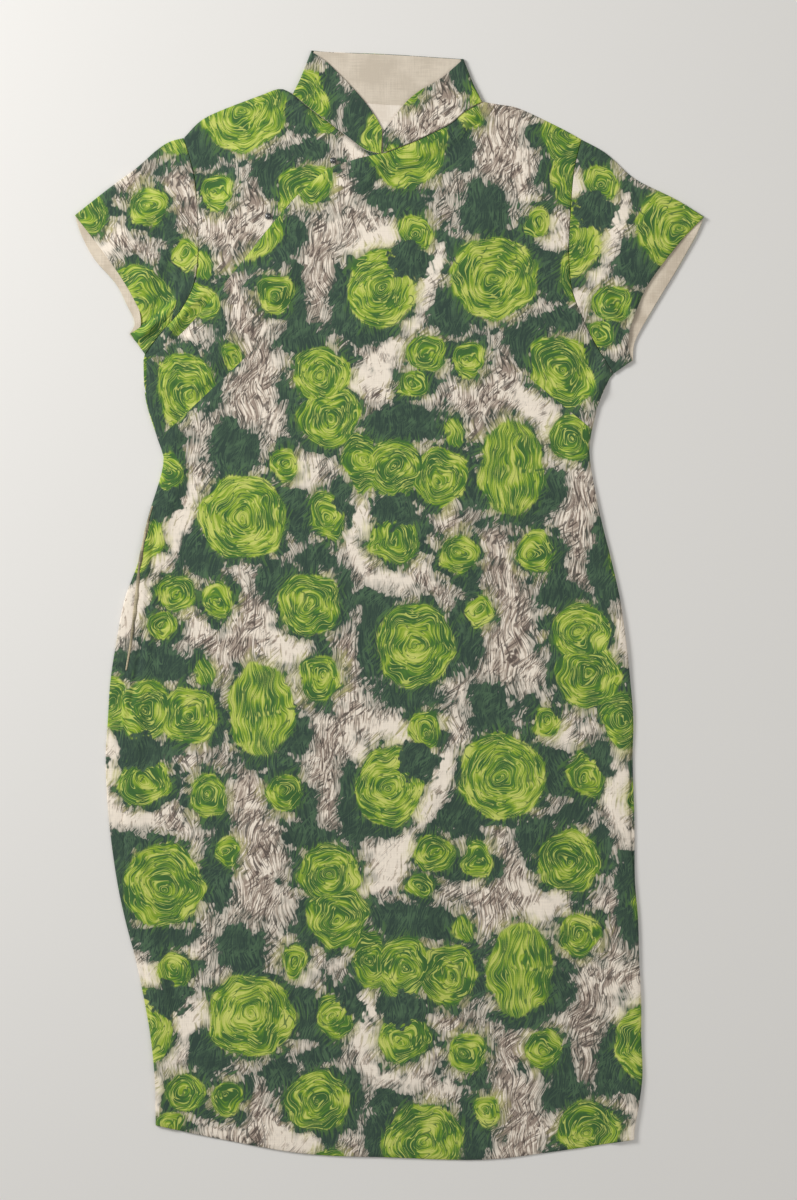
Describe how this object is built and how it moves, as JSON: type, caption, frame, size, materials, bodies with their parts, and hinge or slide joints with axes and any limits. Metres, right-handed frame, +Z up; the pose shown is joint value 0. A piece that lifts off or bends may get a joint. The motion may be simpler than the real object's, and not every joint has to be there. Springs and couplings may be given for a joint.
{
  "type": "cheongsam dress",
  "caption": "Short-sleeved cheongsam dress in printed cloth, with a stand collar and a curved opening to one side, laid flat on its back.",
  "frame": {"origin": "Middle of the dress's footprint, on the surface it lies on.", "axes": "+Y from hem to collar, +X to the wearer's left, +Z up from the surface."},
  "size_m": [0.5975, 1.0537, 0.0059],
  "materials": {
    "printed_cloth": "matt plain weave with a green rose print on cream",
    "grey_lining": "plain grey-cream lining cloth",
    "cream_lining": "plain cream lining cloth",
    "stud_metal": "darkened press stud metal"
  },
  "bodies": {
    "root": {"back": "printed_cloth", "front": "printed_cloth", "small_front": "printed_cloth", "sleeve_right": "printed_cloth", "sleeve_left": "printed_cloth", "collar": "printed_cloth", "collar_lining": "grey_lining", "back_neck_facing": "cream_lining", "sleeve_facing_right": "cream_lining", "sleeve_facing_left": "cream_lining", "press_stud_neck": "stud_metal", "press_stud_chest": "stud_metal"}
  },
  "joints": []
}
